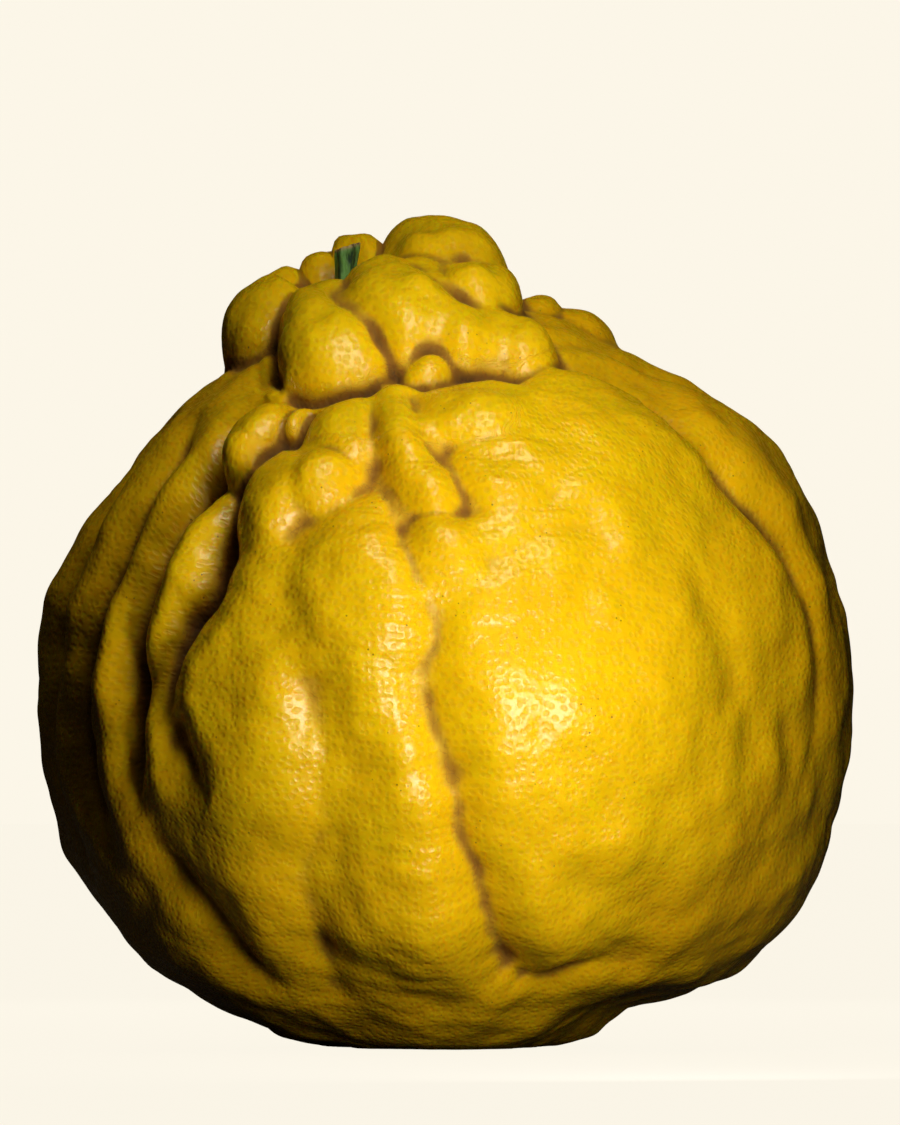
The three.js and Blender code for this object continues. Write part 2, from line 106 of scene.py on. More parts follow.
fruit = {
    # the body, with its core as the origin of every direction
    "coreHeight": 79, "bellyRadius": 89.5, "depthShare": 0.96, "skinRadius": 88,
    "shoulderDrop": 5, "shoulderLatitudes": (12, 58), "footDrop": 5, "footLatitudes": (38, 62),
    "flatRounding": 4, "flatLift": 0.6, "creaseRounding": 0.8, "creaseEnds": (0.15, 0.25),
    "backCreases": {"count": 7, "first": 100, "step": 25.5},
    # the crown, and the pit with the calyx's seat; crownRise: height above the body where a knob starts
    # and where it is all crown; crownFrom: how high up the sphere the crown begins
    "knobEdgeRadius": 84.5, "domeBlend": 8, "knobBlend": 1.6, "crownRise": (1, 8), "crownFrom": 0.6,
    "pitAt": (-24, -6.5), "pitFloorRadius": 84.2, "pitWall": 14, "pitHalfWidth": 9, "pitBlend": 1.5,
    "seatGap": 0.4, "seatWall": 3, "farthestReach": 3,
    # the mesh: steps along each side of the cube that it starts from
    "steps": 128, "frontCrowding": 0.3, "frontAt": (0, 12),
    # the relief of the skin; cell, across and tall are sizes
    "unevenness": [{"pace": 16, "count": 7, "height": 0.55}, {"pace": 34, "count": 12, "height": 0.35}],
    "lumps": [{"cell": 9, "height": 0.5, "seed": 3}, {"cell": 5, "height": 0.34, "seed": 5},
              {"cell": 3.4, "height": 0.14, "seed": 7}],
    "wander": [{"cell": 11, "reach": 0.8, "seed": 20}, {"cell": 4.5, "reach": 0.45, "seed": 30}],
    "wrinkles": {"across": 9, "tall": 2.8, "height": 0.5, "seed": 8},
    "wrinkleWarp": {"cell": 5, "reach": 1, "seed": 80},
    "scarEdge": (2.5, 6), "scarDepth": 1.2,
    # what the peel's colours follow; sideShadeFrom: cosines from the front where the painted shade of the
    # sides turned away from it starts and where it is strongest; blushAndSideShadeShares: of the real patches
    # and of that painted shade
    "blushAndSideShade": {"cell": 16, "seed": 61, "cut": (-0.35, 0.55)}, "sideShadeFrom": (0.82, 0.35),
    "blushAndSideShadeShares": (0.35, 0.75),
    "mottle": {"cell": 4.5, "seed": 63, "cut": (-0.5, 0.5)},
    # blotches that make the painted shade in the deepest hollows uneven
    "shadeBlotches": {"cell": 2.6, "seed": 65, "cut": (-0.8, 0.2)},
    "clusters": {"cell": 8, "seed": 67, "cut": (0.0, 0.4)},
    # how far the means behind "fold" and "cleft" reach, and where one skin map takes over from another
    "smoothSpacing": 1.0, "foldRounds": 40, "cleftRounds": 7,
    "mapCrown": (0.02, 0.12), "mapBlend": 0.05,
}

# Creases between the lobes. line: (longitude, latitude) in degrees along the bottom of the crease, with
# longitude 0 at the front and 90 to the right. depth: along the line, and negative for a crest. width:
# half width. rounding: radius of its bottom. ends: share of the line over which each end runs out.
creases = {
    "crownFoot": dict(line=[(-36, 48), (-27, 48.5), (-20, 49.5), (-14, 51), (-9, 51.5), (-3, 49.5),
        (2.5, 53), (11, 55), (18, 52.5), (24, 55)], depth=[2.4], width=7, ends=(0.05, 0.1)),
    "ridgeRight": dict(line=[(-6, 46.5), (-4.5, 42), (-2.5, 36.5), (0.5, 31), (2.5, 26.5), (4, 22)],
        depth=[2, 2.4, 1.6], width=8, rounding=1.4, ends=(0.1, 0.3)),
    "middleLeft": dict(line=[(-7, 22.5), (-6, 19), (-4.5, 16.5), (-2.5, 13.5)], depth=[2], width=8,
        rounding=1.2),
    "left1": dict(line=[(-30.5, 41), (-31, 37.5), (-33.5, 33.5), (-34, 29), (-36, 26), (-37.2, 19),
        (-38, 13.5), (-42, 8), (-45, 1.5), (-45, -5), (-43, -12)], depth=[4, 7.5, 11.5, 11.5, 10, 7],
        width=13, rounding=1.2, ends=(0.1, 0.3)),
    "ovalFoot": dict(line=[(-45, 44), (-43.5, 39), (-41, 34.5), (-38, 31.5), (-34.5, 29)], depth=[5.5],
        width=8),
    "left2": dict(line=[(-42, 47), (-44.5, 41), (-45, 35), (-46, 29), (-50.5, 19), (-52.5, 7), (-52, -4),
        (-53, -20)], depth=[6.5, 11, 12, 10.5, 7], width=11),
    "left3": dict(line=[(-62, 45), (-59, 30), (-60.5, 16), (-64, 5), (-67, -10), (-64, -28)], depth=[6],
        width=14),
    "left4": dict(line=[(-84, 45), (-76, 30), (-76, 10), (-80, -10), (-76, -30)], depth=[5], width=15),
    "lowLeft": dict(line=[(-43.5, -5), (-40, -12), (-35.5, -17)], depth=[4.5], width=12, rounding=1.5,
        ends=(0.3, 0.6)),
    "lowLeftSecond": dict(line=[(-52, -16), (-50, -24), (-46, -31), (-43, -40), (-42, -52)],
        depth=[4, 5, 6], width=14, rounding=1.5, ends=(0.4, 0.2)),
    "leftValley": dict(line=[(-20, 6), (-18.5, -4), (-18, -14), (-19.5, -22), (-23, -29), (-24.5, -37),
        (-25, -45), (-28, -55)], depth=[2.5, 3.5, 3, 4, 4.5, 6.5, 6.5], width=14, rounding=1.6),
    "leftValleyBranch": dict(line=[(-19, -24), (-16, -33), (-12, -42), (-9, -50)], depth=[2], width=14,
        rounding=2.5, ends=(0.4, 0.3)),
    "central": dict(line=[(-2.5, 14), (-1.5, 8), (-2.5, 0), (-2, -5), (-0.5, -9.5), (1.5, -16), (3, -23.5),
        (6, -29), (8, -35.5), (11.5, -43), (16, -47.5), (21, -49.5)], depth=[2, 5, 7, 8, 7], width=12.5,
        rounding=1.4, ends=(0.15, 0.1)),
    "bottomRight": dict(line=[(16, -48), (21, -49.5), (25.5, -49), (29.5, -46.5), (35, -44.5), (44, -44.5),
        (58, -45)], depth=[5, 5, 3.5, 3], width=11, rounding=1.5, ends=(0.15, 0.4)),
    "bottomRightDip": dict(line=[(20, -27), (29, -32), (38, -34), (50, -35)], depth=[2], width=15,
        rounding=3, ends=(0.5, 0.5)),
    "bottomRightFold": dict(line=[(25, -34), (28.5, -38), (33, -40.5), (40, -42), (48, -41)], depth=[2.4],
        width=9, rounding=1.5, ends=(0.4, 0.5)),
    "rightTop": dict(line=[(22, 54), (28, 57), (43.5, 55), (50.5, 49), (54, 40), (57.5, 31), (62, 23.5),
        (67, 10), (68, -5), (64, -20)], depth=[5, 6, 5, 3.5, 2.5], width=12, rounding=1.2),
    "rightTopSecond": dict(line=[(24, 64), (34.5, 64), (49.5, 63), (62.5, 60.5), (73, 54), (82, 40)],
        depth=[2.2], width=8),
    "rightSoft": dict(line=[(42, 16), (45.5, 1.5), (49, -6), (49.5, -20)], depth=[3.4], width=17,
        rounding=4, ends=(0.5, 0.5)),
    "rightRim": dict(line=[(56.5, 10), (60, -6.5), (62, -22)], depth=[3], width=15, rounding=4,
        ends=(0.5, 0.5)),
    "firstRib": dict(line=[(-42.5, 35), (-41.5, 28), (-41.8, 20), (-44.5, 11.5), (-48, 3), (-49, -5),
        (-48, -16)], depth=[-2.5], width=10, rounding=4),
    "middleCrest": dict(line=[(-10, 14), (-9, 6), (-7, -3), (-4.5, -11), (-3, -20), (-0.5, -29), (1, -38),
        (2, -48)], depth=[-3], width=15, rounding=5),
}

# Swellings between the creases. at: (longitude, latitude); size: half lengths along the parallel and
# the meridian; edge: 1 for a steep edge, 2 for a soft one.
swellings = {
    "shoulder": dict(at=(33, 42), size=(34, 26), height=2.8, edge=1.3),
    "rightLobe": dict(at=(21, -8), size=(48, 52), height=3, edge=1.5),
    "leftLobe": dict(at=(-29, -5), size=(22, 50), height=3, edge=1.4),
    "sideUpperRight": dict(at=(85, 38), size=(44, 30), height=4, edge=1.5),
    "sideUpperLeft": dict(at=(-90, 32), size=(36, 30), height=-2.5, edge=1.5),
    "sideLowerLeft": dict(at=(-90, -15), size=(44, 30), height=1.6, edge=1.5),
    "sideLowerRight": dict(at=(88, -33), size=(44, 22), height=3.2, edge=1.5),
    "footRight": dict(at=(72, -62), size=(40, 26), height=-5.5, edge=2),
    "footMiddle": dict(at=(-9, -36), size=(17, 18), height=2.6, edge=1.4),
    "footRightOfMiddle": dict(at=(14, -34), size=(16, 16), height=1.6, edge=1.4),
}

# Lobes below the crown that crowd against each other. turn: the long axis, anticlockwise, in degrees;
# flatness: 2 for a round dome, more for a flat-topped one.
lobes = {
    "oval": dict(at=(-37.2, 38.4), size=(7, 10.8), height=5.5, flatness=2.6, turn=-12),
    "tiny": dict(at=(-29.5, 41), size=(2.6, 5), height=2.6, flatness=2.4),
    "upperLeft": dict(at=(-18.5, 38.5), size=(10.5, 14.5), height=4.4, flatness=2.2),
    "ridge": dict(at=(-6, 36.5), size=(8.2, 25), height=4.6, flatness=2.2, turn=21),
    "brow": dict(at=(-20, 30), size=(9.5, 11), height=5.4, flatness=2.3),
    "browLeft": dict(at=(-27.5, 28), size=(10, 12.5), height=4.6, flatness=2.3),
    "middle": dict(at=(-12.5, 14.5), size=(15, 22.5), height=4.4, flatness=2.4),
    "middleSmall": dict(at=(-1.5, 18.5), size=(9.5, 11), height=2.4, flatness=2),
    "upperRight": dict(at=(4.5, 42), size=(16, 11), height=3.8, flatness=2.2),
    "upperRightLow": dict(at=(8.5, 33), size=(14, 11), height=3.2, flatness=2),
}

# Knobs of the crown, each of one or more domes that run into each other. at: place in plan, right and
# back, on a sphere of the skin's radius; top: distance of the summit from the core.
knobs = {
    "leftOuter": [dict(at=(-37.9, -5), size=(12.2, 18), top=99, flatness=3)],
    "frontLeft": [dict(at=(-27.5, -26), size=(10.8, 24), top=95.6, flatness=2.8),
        dict(at=(-25.5, -35), size=(13.2, 18.5), top=94, flatness=3),
        dict(at=(-18.5, -40), size=(10, 12.5), top=91.2, flatness=2.6)],
    "frontTop": [dict(at=(-9.5, -26.5), size=(15.5, 23.5), top=97.4, flatness=3.2),
        dict(at=(4.5, -37), size=(10.5, 13), top=92.6, flatness=2.5),
        dict(at=(16, -38.5), size=(9, 10.5), top=89.8, flatness=2.4)],
    "frontBud": [dict(at=(-3.8, -50), size=(5.2, 4), top=86.4, flatness=2.2)],
    "top": [dict(at=(-4.5, 4), size=(12.4, 15), top=104.7, flatness=3.2)],
    "topRight": [dict(at=(-0.5, -8), size=(15.5, 14), top=102, flatness=3.2),
        dict(at=(-1.3, 1), size=(19.2, 17), top=103.9, flatness=2.2),
        dict(at=(3, -25), size=(15, 7.5), top=95.8, flatness=2.6, turn=-61),
        dict(at=(9.5, -22), size=(8.5, 15), top=94.6, flatness=2.8)],
    "backBud": [dict(at=(-17.2, 7), size=(7.2, 9), top=102.3, flatness=3.8)],
    "backLeft": [dict(at=(-25, 8), size=(6.3, 9), top=99.2, flatness=3.5)],
    "backLeftOuter": [dict(at=(-33.5, 6), size=(7.4, 9), top=100.2, flatness=3.5)],
    "leftSliver": [dict(at=(-39.5, -33), size=(2.4, 11.5), top=86.2, flatness=3)],
    "rearTop": [dict(at=(-10, 20), size=(12, 11), top=96, flatness=2.4)],
    "rearLeft": [dict(at=(-28, 19), size=(12, 10), top=93, flatness=2.4)],
    "rearRight": [dict(at=(9, 20), size=(10, 10), top=91.5, flatness=2.4)],
    "sideFirst": [dict(at=(21.5, 2), size=(7, 9), top=90.2, flatness=2.4)],
    "sideSecond": [dict(at=(31.5, 3), size=(8.5, 10), top=89.2, flatness=2.4)],
}

# Narrow seams pressed in between and into the knobs. line, depth, width, rounding, ends: as for creases.
seams = {
    "frontLeftSide": dict(line=[(-44, 68), (-33, 63.5), (-25, 60), (-19, 58), (-15, 56), (-12.5, 54),
        (-10, 52), (-8, 49.5)], depth=[2.4, 2.8, 2.8, 2.4], width=5.5),
    "frontLeftOuter": dict(line=[(-58, 68), (-55, 63.5), (-54, 60), (-51, 56), (-46, 52), (-41, 48)],
        depth=[3, 5, 5, 4], width=7.5),
    "frontLeftFoot": dict(line=[(-38, 46.5), (-30, 46.3), (-25, 47.5), (-20, 49.5), (-15, 50.5),
        (-12, 52.5)], depth=[2.5], width=6),
    "frontTopFoot": dict(line=[(-12, 54.5), (-8, 54.3), (-5.5, 56), (-1.5, 56.5), (2, 54.5), (6, 55),
        (10, 56), (15, 56.3), (19, 54.5), (23, 54)], depth=[1.6], width=5.5),
    "browEdge": dict(line=[(-7, 49), (-4, 51.2), (0, 52), (4, 53.3), (9, 54), (13, 54.3), (17, 52),
        (20, 47.5)], depth=[1.6], width=5),
    "frontTopSecond": dict(line=[(12, 64), (13.5, 60.5), (14, 57.5)], depth=[1], width=5, rounding=1.2),
    "bandFoot": dict(line=[(-67, 80), (-30, 77.5), (-13, 74), (-2, 69), (6, 66.5), (12, 64.5), (19, 63.5)],
        depth=[2, 2.4, 2], width=6),
    "bandEdge": dict(line=[(-45, 83), (-18, 83.5), (0.5, 79.5), (9, 77.5), (17, 76.3), (40, 78), (60, 79)],
        depth=[1.5], width=4.5),
    "topEdge": dict(line=[(-66, 81.5), (-52, 83), (-38, 85), (-21, 87)], depth=[1.4], width=4.5),
    "ridgeRightEdge": dict(line=[(-8, 48.5), (-5.5, 42), (-3.5, 37), (-1, 33), (1, 30), (2.5, 27), (4, 22)],
        depth=[3, 3.4, 3, 3.6, 2.8], width=8),
    "ridgeLeftEdge": dict(line=[(-14.5, 46), (-13.5, 40.5), (-13, 36), (-12.5, 33), (-11, 29), (-8.5, 26),
        (-6.5, 22.5), (-6, 19), (-4.5, 16), (-2.5, 12)], depth=[1.2, 1.8, 1.8, 2.4, 2.8, 2.2, 1.5],
        width=8.5),
    "ridgeFoot": dict(line=[(-7, 21.5), (-4.5, 24), (-1.5, 24.5), (1, 24.5), (4, 25)], depth=[1.6],
        width=6.5),
    "browTop": dict(line=[(-34.5, 32.5), (-34, 34.5), (-33, 36), (-31.5, 38), (-28, 38), (-22, 36),
        (-18.5, 34.5), (-15.5, 32), (-13, 29.5)], depth=[2.6, 2.4, 1.8, 1.6], width=7),
    "middleTop": dict(line=[(-25, 20), (-22, 23.5), (-19, 25), (-16.5, 27), (-14, 28.5), (-11, 29)],
        depth=[1.2, 2.2, 2.4], width=8.5),
    "tinySide": dict(line=[(-28, 43.5), (-28, 41), (-28.5, 38.5), (-31, 37.5)], depth=[2], width=4.5),
    "upperRightFoot": dict(line=[(-2, 33), (1.5, 35.5), (5, 34.5), (9, 33.5), (14, 35)],
        depth=[3, 2.4, 1.4], width=10, rounding=1.6),
}

# The places whose skin is wrinkled. height: how strongly; the rest as for the swellings and lobes.
wrinkledPlaces = [
    dict(at=(-6, 34), size=(9, 26), height=1, edge=0.7, turn=21),
    dict(at=(-12, 8), size=(17, 30), height=1, edge=0.7),
    dict(at=(-4, -32), size=(18, 30), height=0.6, edge=0.8),
    dict(at=(14, 26), size=(34, 34), height=0.7, edge=0.8),
    dict(at=(-26, 26), size=(18, 24), height=0.45, edge=0.8),
    dict(at=(44, 44), size=(34, 24), height=0.5, edge=0.8),
]


def direction(longitude, latitude):
    # the unit vector towards a longitude and latitude in degrees
    around, up = np.radians(longitude), np.radians(latitude)
    return np.stack([np.cos(up) * np.sin(around), -np.cos(up) * np.cos(around), np.sin(up)], -1)


def smoothStep(x, low, high):
    # 0 up to low and 1 from high on, and between them 3s² - 2s³ of the share s of the way
    share = np.clip((x - low) / (high - low), 0, 1)
    return share * share * (3 - 2 * share)


def softMax(a, b, blend):
    # the larger of two, rounded where they are within "blend" of each other
    overlap = np.maximum(blend - np.abs(a - b), 0) / blend
    return np.maximum(a, b) + overlap * overlap * blend / 4


def softMin(a, b, blend):
    return -softMax(-a, -b, blend)


def bodyRadius(d):
    # an ellipsoid, a little narrower at the shoulder and at the foot
    latitude = np.degrees(np.arcsin(np.clip(d[:, 2], -1, 1)))
    flattening = 1 - (1 - fruit["depthShare"]) * d[:, 1] ** 2
    shoulder = fruit["shoulderDrop"] * smoothStep(latitude, *fruit["shoulderLatitudes"])
    foot = fruit["footDrop"] * smoothStep(-latitude, *fruit["footLatitudes"])
    return (fruit["bellyRadius"] - shoulder - foot) * flattening


def smoothLine(line, stepsPerPoint=5):
    # a Catmull-Rom curve through directions, in short steps
    p = direction(*np.array(line, float).T)
    p = np.concatenate([[2 * p[0] - p[1]], p, [2 * p[-1] - p[-2]]])
    t = np.linspace(0, 1, stepsPerPoint, endpoint=False)[:, None]
    pieces = []
    for a, b, c, e in zip(p[:-3], p[1:-2], p[2:-1], p[3:]):
        square, cube = 2 * a - 5 * b + 4 * c - e, 3 * b - a - 3 * c + e
        pieces.append((2 * b + (c - a) * t + square * t ** 2 + cube * t ** 3) / 2)
    points = np.concatenate(pieces + [p[-2:-1]])
    return points / np.linalg.norm(points, axis=1)[:, None]


def creaseDrop(d, line, depth, width, rounding=fruit["creaseRounding"], ends=fruit["creaseEnds"]):
    # Drop of the skin: the depth at the nearest point of the line, times the square of one minus the
    # distance over the half width, fading in and out along the line's ends.
    points = smoothLine(line)
    lengths = np.linalg.norm(np.diff(points, axis=0), axis=1)
    shares = np.concatenate([[0], np.cumsum(lengths)]) / lengths.sum()
    middle = points.mean(0) / np.linalg.norm(points.mean(0))
    reachAngle = np.arccos((points @ middle).min()) + 1.3 * width / fruit["skinRadius"]
    near = np.flatnonzero(d @ middle > cos(min(reachAngle, pi)))
    nearest = np.full(len(near), np.inf)
    share = np.zeros(len(near))
    for i, step in enumerate(np.diff(points, axis=0)):
        offset = d[near] - points[i]
        t = np.clip(offset @ step / (step @ step), 0, 1)
        distance = np.linalg.norm(offset - t[:, None] * step, axis=1)
        share = np.where(distance < nearest, shares[i] + (shares[i + 1] - shares[i]) * t, share)
        nearest = np.minimum(distance, nearest)
    reach = np.hypot(nearest * fruit["skinRadius"], rounding) / width
    fade = np.minimum(share / ends[0], 1) * np.minimum((1 - share) / ends[1], 1)
    depths = np.interp(share, np.linspace(0, 1, len(depth)), depth) if len(depth) > 1 else depth[0]
    drop = np.zeros(len(d))
    drop[near] = depths * np.sin(fade * pi / 2) * np.maximum(0, 1 - reach) ** 2
    return drop


def turnedReach(x, y, size, turn):
    # how far out a place is from an oval's middle, as a share of its half lengths
    c, s = cos(radians(turn)), sin(radians(turn))
    return np.hypot((x * c + y * s) / size[0], (y * c - x * s) / size[1])


def ovalReach(d, at, size, turn=0):
    # the same for directions and an oval on the sphere; "far" on the sphere's other side
    middle = direction(*at)
    east = direction(at[0] + 90, 0)
    x, y = d @ east * fruit["skinRadius"], d @ np.cross(middle, east) * fruit["skinRadius"]
    far = 9
    return np.where(d @ middle > 0, turnedReach(x, y, size, turn), far)


def swellingRise(d, at, size, height, edge, turn=0):
    # the height, times one minus the square of the reach, to the power "edge"
    return height * np.maximum(0, 1 - ovalReach(d, at, size, turn) ** 2) ** edge


def addLobes(d, plain, radius):
    # the larger of the skin and each lobe: the body plus a height that falls off with a power of the reach
    for lobe in lobes.values():
        reach = ovalReach(d, lobe["at"], lobe["size"], lobe.get("turn", 0))
        bulge = lobe["height"] * (1 - np.minimum(reach, fruit["farthestReach"]) ** lobe["flatness"])
        radius = softMax(radius, plain + bulge, fruit["knobBlend"])
    return radius


def domeRadius(d, at, size, top, flatness, turn=0):
    # the summit's distance, less a power of the reach that brings it to the edge's radius at a reach of 1
    x, y = (d[:, :2] * fruit["skinRadius"] - at).T
    reach = np.minimum(turnedReach(x, y, size, turn), fruit["farthestReach"])
    return top - (top - fruit["knobEdgeRadius"]) * reach ** flatness


def addKnobs(d, radius):
    # the larger of the skin and each knob, which is the larger of its domes
    for domes in knobs.values():
        knob = domeRadius(d, **domes[0])
        for dome in domes[1:]:
            knob = softMax(knob, domeRadius(d, **dome), fruit["domeBlend"])
        radius = np.where(d[:, 2] > 0, softMax(radius, knob, fruit["knobBlend"]), radius)
    return radius


def sinkPit(d, radius):
    # the smaller of the skin, a cup that rises with the cube of the distance from its middle, and the
    # calyx's seat: a plane just below its box, that turns up steeply outside it
    away = np.linalg.norm(d[:, :2] * fruit["skinRadius"] - fruit["pitAt"], axis=1)
    cup = fruit["pitFloorRadius"] + fruit["pitWall"] * (away / fruit["pitHalfWidth"]) ** 3
    radius = np.where(d[:, 2] > 0, softMin(radius, cup, fruit["pitBlend"]), radius)
    low, high = inMillimetres(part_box("calyx"))
    middle, across = (low + high)[:2] / 2, (high - low)[:2].max() / 2
    seatFrom = 0.5  # only this high up the sphere and higher
    seat = (low[2] - fruit["seatGap"] - fruit["coreHeight"]) / np.maximum(d[:, 2], seatFrom)
    aside = np.linalg.norm(d[:, :2] * seat[:, None] - middle, axis=1) - across
    cut = np.minimum(radius, seat + fruit["seatWall"] * np.maximum(aside, 0))
    return np.where(d[:, 2] > seatFrom, cut, radius)


def ripples(d, pace, count, height):
    # a sum of sine ripples whose directions are spread evenly over the sphere, with paces and starts
    # that differ from one to the next
    goldenAngle, goldenShare = pi * (3 - sqrt(5)), 0.618
    total = 0
    for i in range(count):
        z = 1 - (2 * i + 1) / count
        side = sqrt(1 - z * z)
        travel = d @ (side * cos(goldenAngle * i), side * sin(goldenAngle * i), z)
        total = total + np.sin(travel * pace * (0.75 + 0.5 * (goldenShare * i % 1)) + 1.7 * i * i)
    return height * total / sqrt(count)


def backCrease(i):
    # a crease down the unseen back, whose sway, width and depth follow sines of its number
    middle = fruit["backCreases"]["first"] + fruit["backCreases"]["step"] * i
    sway = [6 * sin(2.1 * i), 5 * sin(1.3 * i + 1), 6 * sin(1.7 * i), 5 * sin(0.9 * i + 2), 3]
    line = [(middle + aside, latitude) for aside, latitude in zip(sway, (54, 28, 3, -22, -48))]
    depth = [4.5 + 1.5 * sin(2.3 * i), 6 + 1.5 * sin(3.1 * i), 4]
    return {"line": line, "depth": depth, "width": 14 + 2 * sin(1.1 * i)}


def standOnFlat(d, radius):
    # the smaller of the skin and the distance of the plane it stands on, rounded where they meet
    lower = 0.05  # only this far down the sphere and lower
    plane = fruit["coreHeight"] / np.maximum(-d[:, 2], lower)
    cut = np.minimum(softMin(radius, plane + fruit["flatLift"], fruit["flatRounding"]), plane)
    return np.where(d[:, 2] < -lower, cut, radius)


def spreadDirections(steps):
    # Directions on a cube blown up to a sphere, with its cells, crowded towards the front of the crown
    # by adding a share of that direction to each.
    even = np.tan(np.linspace(-pi / 4, pi / 4, steps + 1))
    u, v = np.meshgrid(even, even, indexing="ij")
    one = np.ones_like(u)
    sides = [(u, v, one), (v, u, -one), (one, u, v), (-one, v, u), (v, one, u), (u, -one, v)]
    corners = np.concatenate([np.stack(side, -1).reshape(-1, 3) for side in sides])
    corners /= np.linalg.norm(corners, axis=1)[:, None]
    first = np.arange(steps)[:, None] * (steps + 1) + np.arange(steps)
    cell = np.stack([first, first + steps + 1, first + steps + 2, first + 1], -1).reshape(-1, 4)
    cells = np.concatenate([cell + k * (steps + 1) ** 2 for k in range(len(sides))])
    keys, index, merged = np.unique(np.round(corners, 6), axis=0, return_index=True, return_inverse=True)
    d = corners[index] + fruit["frontCrowding"] * direction(*fruit["frontAt"])
    return d / np.linalg.norm(d, axis=1)[:, None], merged.reshape(-1)[cells]


def ringMeans(values, d, cells, rounds):
    # each value moved towards the mean of its neighbours along the mesh's edges, over and over, and
    # less where the edges are long, so that the smoothing reaches equally far all round
    a = cells.ravel()
    b = np.roll(cells, -1, axis=1).ravel()
    joined = np.bincount(a, minlength=len(values))
    lengths = np.linalg.norm(d[a] - d[b], axis=1)
    spacing = np.bincount(a, lengths, len(values)) / joined * fruit["skinRadius"]
    pace = np.minimum((fruit["smoothSpacing"] / spacing) ** 2, 1) / 2
    for _ in range(rounds):
        values = values + pace * (np.bincount(a, values[b], len(values)) / joined - values)
    return values


def noiseShift(points, cell, reach, seed):
    # a vector of noise for each point, with a seed of its own for each axis
    return reach * np.stack([latticeNoise(points, cell, seed + axis) for axis in range(3)], -1)


def wandering(d):
    # directions shifted a little by noise, so that no crease runs true
    points = d * fruit["skinRadius"]
    moved = points + sum(noiseShift(points, **layer) for layer in fruit["wander"])
    return moved / np.linalg.norm(moved, axis=1)[:, None]


def blotches(points, cell, seed, cut):
    # ragged patches from 0 to 1: noise at three sizes, cut between two levels
    fall = 1.6  # from each size of noise to the next
    total = sum(latticeNoise(points, cell / 2 ** i, seed + 100 * i) / fall ** i for i in range(3))
    return smoothStep(total / fall, *cut)


def skinMaps(position, cells, crown):
    # Three flat maps of the skin in millimetres, one for each axis: on the body by two angles round the
    # core seen along the axis, on the crown by the two other coordinates. And the way the skin faces,
    # which chooses between them: outwards on the body, along its own normal on the crown.
    corners = position[cells]
    turned = np.cross(corners[:, 2] - corners[:, 0], corners[:, 3] - corners[:, 1])
    normal = np.zeros_like(position)
    for k in range(4):
        for axis in range(3):
            normal[:, axis] += np.bincount(cells[:, k], turned[:, axis], len(position))
    normal = normal / np.linalg.norm(normal, axis=1)[:, None]
    fromCore = position - (0, 0, fruit["coreHeight"])
    away = np.abs(fromCore)
    share = smoothStep(crown, *fruit["mapCrown"])[:, None]
    maps = {}
    for axis, name in enumerate(("sideMap", "frontMap", "topMap")):
        others = np.delete(fromCore, axis, axis=1)
        angles = np.arctan2(others, away[:, axis, None]) * fruit["skinRadius"]
        maps[name] = np.pad(angles * (1 - share) + others * share, ((0, 0), (0, 1)))
    outwards = fromCore / np.linalg.norm(fromCore, axis=1)[:, None]
    facing = np.abs(outwards * (1 - share) + normal * share)
    blend = fruit["mapBlend"]
    maps["frontShare"] = smoothStep(facing[:, 1] - facing[:, 0], -blend, blend)
    maps["topShare"] = smoothStep(facing[:, 2] - facing[:, :2].max(axis=1), -blend, blend)
    return maps


def formRadius(d):
    # The skin's distance from the core without its fine relief: the body plus its swellings, less its
    # creases, with lobes and knobs where they stand higher, less the seams and the pit. And the crown, 1
    # where knobs stand well above the body.
    bent = wandering(d)
    plain = bodyRadius(d)
    for swelling in swellings.values():
        plain = plain + swellingRise(d, **swelling)
    radius = plain
    for crease in list(creases.values()) + [backCrease(i) for i in range(fruit["backCreases"]["count"])]:
        radius = radius - creaseDrop(bent, **crease)
    radius = addKnobs(bent, addLobes(bent, plain, radius))
    crown = smoothStep(radius - plain, *fruit["crownRise"]) * (d[:, 2] > fruit["crownFrom"])
    for seam in seams.values():
        radius = radius - creaseDrop(bent, **seam)
    return sinkPit(d, radius), crown


def skinRelief(d, radius, crown, band, wrinkled):
    # ripples and lumps all over, and wrinkles in their places: noise on the band, a cylinder round the
    # fruit, long round it and short up and down
    points = d * fruit["skinRadius"]
    for layer in fruit["unevenness"]:
        radius = radius + ripples(d, **layer)
    for lump in fruit["lumps"]:
        radius = radius + lump["height"] * (1 + crown) * latticeNoise(points, lump["cell"], lump["seed"])
    rings = fruit["wrinkles"]
    stretched = band * (rings["tall"] / rings["across"], rings["tall"] / rings["across"], 1)
    stretched = stretched + noiseShift(points, **fruit["wrinkleWarp"])
    return radius + wrinkled * rings["height"] * latticeNoise(stretched, rings["tall"], rings["seed"])


